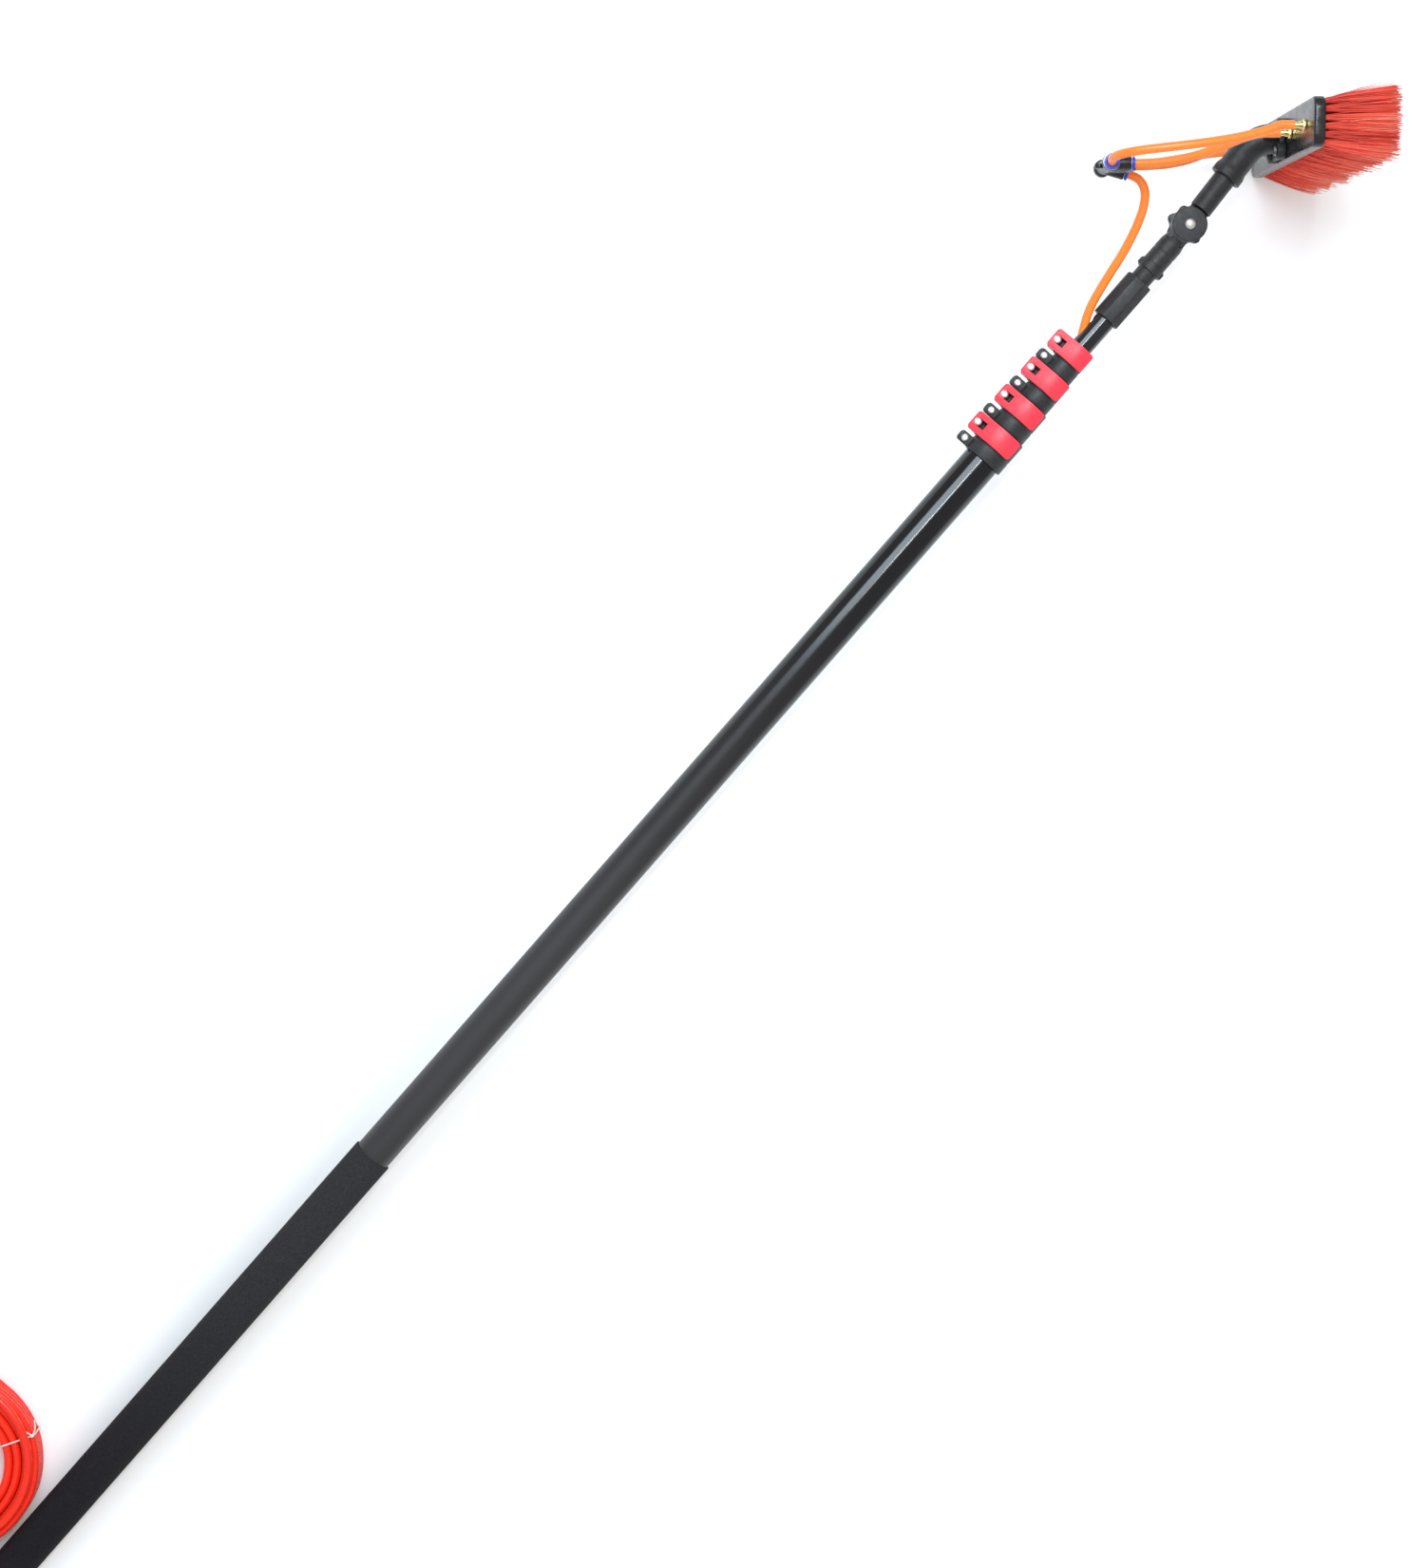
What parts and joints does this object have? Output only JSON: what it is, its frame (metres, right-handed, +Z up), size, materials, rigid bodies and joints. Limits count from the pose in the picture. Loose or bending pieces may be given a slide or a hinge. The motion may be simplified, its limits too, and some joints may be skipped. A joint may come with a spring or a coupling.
{
  "type": "water-fed window cleaning pole",
  "caption": "Telescopic water-fed cleaning pole with cam-lever clamps, a tilting brush head with water jets, and orange feed hoses.",
  "frame": {"origin": "on the floor, under the middle of the footprint of the pole and brush, without the spare hose", "axes": "+X along the pole's floor projection towards the brush, +Z up, +Y the side of the clamp lugs and the hose coil"},
  "size_m": [2.0101, 0.2887, 0.307],
  "materials": {
    "tube_section_1": "satin black coat",
    "grip_sleeve": "charcoal foam",
    "end_cap": "black",
    "hose_grommet": "black",
    "clamp_1_collar": "black, lightly textured",
    "clamp_1_tension_screw": "stainless",
    "clamp_1_hinge_pin": "stainless",
    "supply_hose": "orange hose",
    "hose_coil": "orange hose",
    "hose_connector": "turned",
    "tube_section_2": "satin black coat",
    "glide_bush_2": "black, lightly textured",
    "clamp_2_collar": "black, lightly textured",
    "clamp_2_tension_screw": "stainless",
    "clamp_2_hinge_pin": "stainless",
    "tube_section_3": "satin black coat",
    "glide_bush_3": "black, lightly textured",
    "clamp_3_collar": "black, lightly textured",
    "clamp_3_tension_screw": "stainless",
    "clamp_3_hinge_pin": "stainless",
    "tube_section_4": "satin black coat",
    "glide_bush_4": "black, lightly textured",
    "clamp_4_collar": "black, lightly textured",
    "clamp_4_tension_screw": "stainless",
    "clamp_4_hinge_pin": "stainless",
    "glide_bush_5": "black, lightly textured",
    "tube_section_5": "satin black coat",
    "inner_hose": "orange hose",
    "knuckle_lower": "black, lightly textured",
    "knuckle_bolt": "stainless",
    "feed_hose": "orange hose",
    "head_lock_nut": "black, lightly textured",
    "star_knob": "black, lightly textured",
    "knuckle_upper": "black, lightly textured",
    "elbow_bracket": "black, lightly textured",
    "bracket_screw_1": "stainless",
    "bracket_screw_2": "stainless",
    "bracket_screw_3": "stainless",
    "bracket_screw_4": "stainless",
    "brush_block": "black, lightly textured",
    "jet_nipple_1": "turned",
    "jet_nipple_2": "turned",
    "jet_nipple_3": "turned",
    "jet_nipple_4": "turned",
    "bristle_pack": "red-orange bristles",
    "manifold_body": "black, lightly textured",
    "branch_hose_1": "orange hose",
    "branch_hose_2": "orange hose",
    "branch_hose_3": "orange hose",
    "branch_hose_4": "orange hose",
    "clamp_1_lever": "crimson",
    "clamp_2_lever": "crimson",
    "clamp_3_lever": "crimson",
    "clamp_4_lever": "crimson",
    "collet_near": "blue",
    "collet_side_1": "blue",
    "collet_side_2": "blue",
    "collet_side_3": "blue",
    "collet_far": "blue",
    "collet_feed": "blue"
  },
  "bodies": {
    "pole_base": {"tube_section_1": "tube_section_1", "grip_sleeve": "grip_sleeve", "end_cap": "end_cap", "hose_grommet": "hose_grommet", "clamp_1_collar": "clamp_1_collar", "clamp_1_tension_screw": "clamp_1_tension_screw", "clamp_1_hinge_pin": "clamp_1_hinge_pin", "supply_hose": "supply_hose", "hose_coil": "hose_coil", "hose_connector": "hose_connector"},
    "pole_section_2": {"tube_section_2": "tube_section_2", "glide_bush_2": "glide_bush_2", "clamp_2_collar": "clamp_2_collar", "clamp_2_tension_screw": "clamp_2_tension_screw", "clamp_2_hinge_pin": "clamp_2_hinge_pin"},
    "pole_section_3": {"tube_section_3": "tube_section_3", "glide_bush_3": "glide_bush_3", "clamp_3_collar": "clamp_3_collar", "clamp_3_tension_screw": "clamp_3_tension_screw", "clamp_3_hinge_pin": "clamp_3_hinge_pin"},
    "pole_section_4": {"tube_section_4": "tube_section_4", "glide_bush_4": "glide_bush_4", "clamp_4_collar": "clamp_4_collar", "clamp_4_tension_screw": "clamp_4_tension_screw", "clamp_4_hinge_pin": "clamp_4_hinge_pin"},
    "head_glide": {"glide_bush_5": "glide_bush_5"},
    "pole_section_5": {"tube_section_5": "tube_section_5", "inner_hose": "inner_hose", "knuckle_lower": "knuckle_lower", "knuckle_bolt": "knuckle_bolt", "feed_hose": "feed_hose"},
    "lock_nut": {"head_lock_nut": "head_lock_nut"},
    "knob": {"star_knob": "star_knob"},
    "head": {"knuckle_upper": "knuckle_upper", "elbow_bracket": "elbow_bracket", "bracket_screw_1": "bracket_screw_1", "bracket_screw_2": "bracket_screw_2", "bracket_screw_3": "bracket_screw_3", "bracket_screw_4": "bracket_screw_4", "brush_block": "brush_block", "jet_nipple_1": "jet_nipple_1", "jet_nipple_2": "jet_nipple_2", "jet_nipple_3": "jet_nipple_3", "jet_nipple_4": "jet_nipple_4", "bristle_pack": "bristle_pack", "manifold_body": "manifold_body", "branch_hose_1": "branch_hose_1", "branch_hose_2": "branch_hose_2", "branch_hose_3": "branch_hose_3", "branch_hose_4": "branch_hose_4"},
    "lever_1": {"clamp_1_lever": "clamp_1_lever"},
    "lever_2": {"clamp_2_lever": "clamp_2_lever"},
    "lever_3": {"clamp_3_lever": "clamp_3_lever"},
    "lever_4": {"clamp_4_lever": "clamp_4_lever"},
    "collet_near": {"collet_near": "collet_near"},
    "collet_side_1": {"collet_side_1": "collet_side_1"},
    "collet_side_2": {"collet_side_2": "collet_side_2"},
    "collet_side_3": {"collet_side_3": "collet_side_3"},
    "collet_far": {"collet_far": "collet_far"},
    "collet_feed": {"collet_feed": "collet_feed"}
  },
  "joints": [
    {"name": "section_2_slide", "type": "slide", "parent": "pole_base", "child": "pole_section_2", "axis": [0.9975, 0, 0.0707], "range_m": [0, 1.3]},
    {"name": "section_3_slide", "type": "slide", "parent": "pole_section_2", "child": "pole_section_3", "axis": [0.9975, 0, 0.0707], "range_m": [0, 1.3]},
    {"name": "section_4_slide", "type": "slide", "parent": "pole_section_3", "child": "pole_section_4", "axis": [0.9975, 0, 0.0707], "range_m": [0, 1.3]},
    {"name": "section_5_slide", "type": "slide", "parent": "pole_section_4", "child": "head_glide", "axis": [0.9975, 0, 0.0707], "range_m": [0, 1.3]},
    {"name": "section_5_twist", "type": "hinge", "parent": "head_glide", "child": "pole_section_5", "pos_m": [0.23434, -0.0072, 0.10427], "axis": [0.9975, 0, 0.0707], "range_deg": [-180, 180]},
    {"name": "lever_1_hinge", "type": "hinge", "parent": "pole_base", "child": "lever_1", "pos_m": [0.51667, 0.0191, 0.12949], "axis": [-0.9975, 0, -0.0707], "range_deg": [0, 90]},
    {"name": "lever_2_hinge", "type": "hinge", "parent": "pole_section_2", "child": "lever_2", "pos_m": [0.55038, 0.01744, 0.13188], "axis": [-0.9975, 0, -0.0707], "range_deg": [0, 90]},
    {"name": "lever_3_hinge", "type": "hinge", "parent": "pole_section_3", "child": "lever_3", "pos_m": [0.5841, 0.0158, 0.13426], "axis": [-0.9975, 0, -0.0707], "range_deg": [0, 90]},
    {"name": "lever_4_hinge", "type": "hinge", "parent": "pole_section_4", "child": "lever_4", "pos_m": [0.61782, 0.01414, 0.13665], "axis": [-0.9975, 0, -0.0707], "range_deg": [0, 90]},
    {"name": "lock_nut_spin", "type": "hinge", "parent": "pole_section_5", "child": "lock_nut", "pos_m": [0.68322, -0.0072, 0.13608], "axis": [0.9975, 0, 0.0707], "continuous": true},
    {"name": "knuckle_tilt", "type": "hinge", "parent": "pole_section_5", "child": "head", "pos_m": [0.772, -0.0072, 0.14237], "axis": [-0.0707, 0, 0.9975], "range_deg": [-95, 60], "deforming": ["feed_hose"]},
    {"name": "knob_spin", "type": "hinge", "parent": "pole_section_5", "child": "knob", "pos_m": [0.772, -0.0072, 0.14237], "axis": [-0.0707, 0, 0.9975], "continuous": true},
    {"name": "collet_near_press", "type": "slide", "parent": "head", "child": "collet_near", "axis": [0.0707, 0, -0.9975], "range_m": [0, 0.001]},
    {"name": "collet_side_1_press", "type": "slide", "parent": "head", "child": "collet_side_1", "axis": [-0.6544, 0.7547, -0.0464], "range_m": [0, 0.001]},
    {"name": "collet_side_2_press", "type": "slide", "parent": "head", "child": "collet_side_2", "axis": [-0.6544, 0.7547, -0.0464], "range_m": [0, 0.001]},
    {"name": "collet_side_3_press", "type": "slide", "parent": "head", "child": "collet_side_3", "axis": [-0.6544, 0.7547, -0.0464], "range_m": [0, 0.001]},
    {"name": "collet_far_press", "type": "slide", "parent": "head", "child": "collet_far", "axis": [-0.0707, 0, 0.9975], "range_m": [0, 0.001]},
    {"name": "collet_feed_press", "type": "slide", "parent": "head", "child": "collet_feed", "axis": [-0.4216, 0.9063, -0.0299], "range_m": [0, 0.001]}
  ]
}
